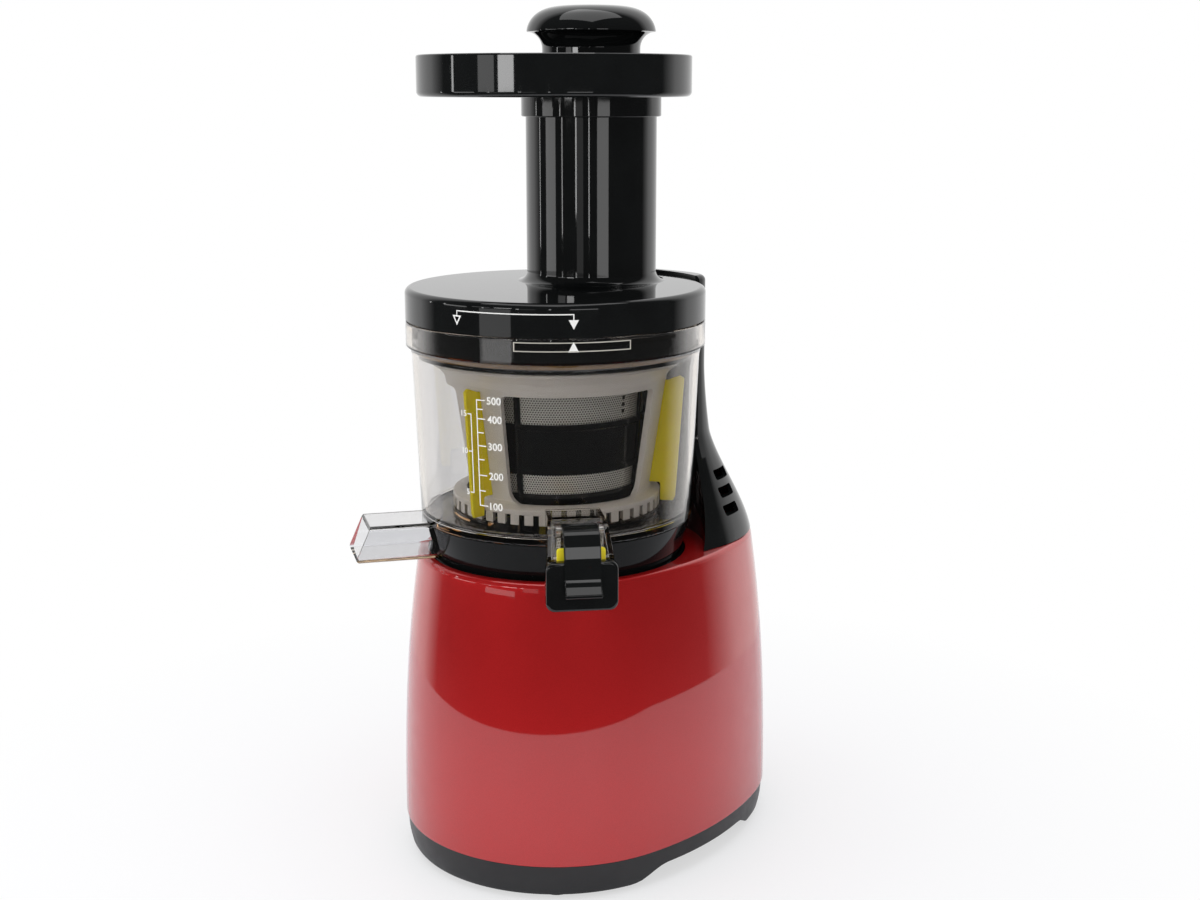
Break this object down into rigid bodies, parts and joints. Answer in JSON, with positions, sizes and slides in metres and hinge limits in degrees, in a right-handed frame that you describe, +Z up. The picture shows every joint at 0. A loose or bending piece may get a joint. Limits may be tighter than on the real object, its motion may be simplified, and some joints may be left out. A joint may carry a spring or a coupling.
{
  "type": "cold press juicer",
  "caption": "Upright slow juicer: screw press in a clear bowl with juice and pulp spouts, tall feed chute with tray and pusher, on a red motor base with a black rear column.",
  "frame": {"origin": "centre of the footprint at the underside of the feet, on the surface the juicer stands on", "axes": "+Z up; -Y is the front, where the two spouts point, and +Y the back with the column, switch and mains cord entry; +X is to the right seen from the front"},
  "size_m": [0.17, 0.2359, 0.4304],
  "materials": {
    "red_shell": "metallic red lacquer, glossy",
    "black_plastic": "gloss black",
    "matte_black": "satin black",
    "rubber": "matt",
    "steel": "satin",
    "steel_mesh": "fine perforated steel",
    "cast_metal": "satin grey castings",
    "copper": "lacquered copper windings",
    "circuit": "green board",
    "silicone": "yellow silicone",
    "cream_plastic": "cream",
    "clear_plastic": "clear plastic with a slight smoky tint"
  },
  "bodies": {
    "base": {"base_housing": "red_shell", "base_tray": "black_plastic", "rubber_feet": "rubber", "base_screws": "steel", "bowl_dock": "black_plastic", "shaft_seal": "silicone", "rear_column": "black_plastic", "column_screws": "steel", "lid_sensor": "circuit", "motor_core": "cast_metal", "motor_windings": "copper", "motor_brackets": "cast_metal", "motor_bearings": "steel", "motor_bolts": "steel", "gearbox_case": "cast_metal", "gearbox_cover": "cast_metal", "gearbox_screws": "steel", "gear_axle": "steel", "output_bearings": "steel", "control_board": "circuit", "run_capacitor": "black_plastic", "cord_gland": "rubber", "switch_bezel": "black_plastic"},
    "rotor": {"motor_rotor": "steel", "cooling_fan": "cream_plastic", "motor_pinion": "steel"},
    "counter_gear": {"intermediate_gear": "cream_plastic"},
    "drive": {"output_gear": "cream_plastic", "drive_shaft": "steel"},
    "rocker": {"power_rocker": "black_plastic"},
    "bowl": {"juice_bowl": "clear_plastic", "bowl_base": "black_plastic", "bowl_seal": "silicone", "pulp_stopper": "silicone", "idler_pin": "steel", "strainer_frame": "black_plastic", "strainer_mesh": "steel_mesh", "cap_pin": "steel"},
    "auger": {"auger_screw": "matte_black", "auger_hub": "matte_black", "auger_seal": "silicone"},
    "brush": {"brush_frame": "cream_plastic", "wiper_blades": "silicone"},
    "idler": {"idler_gear": "cream_plastic"},
    "cap": {"juice_cap": "black_plastic", "cap_seal": "silicone"},
    "lid": {"lid": "black_plastic", "lid_bushing": "cream_plastic", "lid_gasket": "silicone", "lid_magnet": "steel"},
    "hopper": {"hopper_tray": "black_plastic"},
    "pusher": {"pusher": "black_plastic"}
  },
  "joints": [
    {"name": "drive_spin", "type": "hinge", "parent": "base", "child": "drive", "pos_m": [0, -0.02625, 0.11], "axis": [0, 0, 1], "continuous": true},
    {"name": "counter_spin", "type": "hinge", "parent": "base", "child": "counter_gear", "pos_m": [0, 0.02175, 0.11], "axis": [0, 0, 1], "continuous": true},
    {"name": "rotor_spin", "type": "hinge", "parent": "base", "child": "rotor", "pos_m": [0, -0.01125, 0.05], "axis": [0, 0, 1], "continuous": true},
    {"name": "power_switch", "type": "hinge", "parent": "base", "child": "rocker", "pos_m": [0, 0.10004, 0.112], "axis": [1, 0, 0], "range_deg": [-12, 12]},
    {"name": "bowl_lift", "type": "slide", "parent": "base", "child": "bowl", "axis": [0, 0, 1], "range_m": [0, 0.06]},
    {"name": "auger_spin", "type": "hinge", "parent": "bowl", "child": "auger", "pos_m": [0, -0.02625, 0.2], "axis": [0, 0, 1], "continuous": true},
    {"name": "idler_spin", "type": "hinge", "parent": "bowl", "child": "idler", "pos_m": [0.0165, 0.00233, 0.186], "axis": [0, 0, 1], "continuous": true},
    {"name": "brush_spin", "type": "hinge", "parent": "bowl", "child": "brush", "pos_m": [0, -0.02625, 0.22], "axis": [0, 0, 1], "continuous": true},
    {"name": "cap_open", "type": "hinge", "parent": "bowl", "child": "cap", "pos_m": [0.0656, -0.0896, 0.1923], "axis": [-0.6947, -0.7193, 0], "range_deg": [0, 85]},
    {"name": "lid_turn", "type": "hinge", "parent": "bowl", "child": "lid", "pos_m": [0, -0.02625, 0.285], "axis": [0, 0, 1], "range_deg": [0, 48]},
    {"name": "hopper_lift", "type": "slide", "parent": "lid", "child": "hopper", "axis": [0, 0, 1], "range_m": [0, 0.03]},
    {"name": "pusher_lift", "type": "slide", "parent": "hopper", "child": "pusher", "axis": [0, 0, 1], "range_m": [0, 0.09]}
  ],
  "couplings": [
    {"joint": "counter_spin", "follows": "drive_spin", "ratio": -3.9231},
    {"joint": "rotor_spin", "follows": "drive_spin", "ratio": 17.654},
    {"joint": "auger_spin", "follows": "drive_spin", "ratio": 1},
    {"joint": "idler_spin", "follows": "drive_spin", "ratio": -0.875},
    {"joint": "brush_spin", "follows": "drive_spin", "ratio": -0.30435}
  ]
}
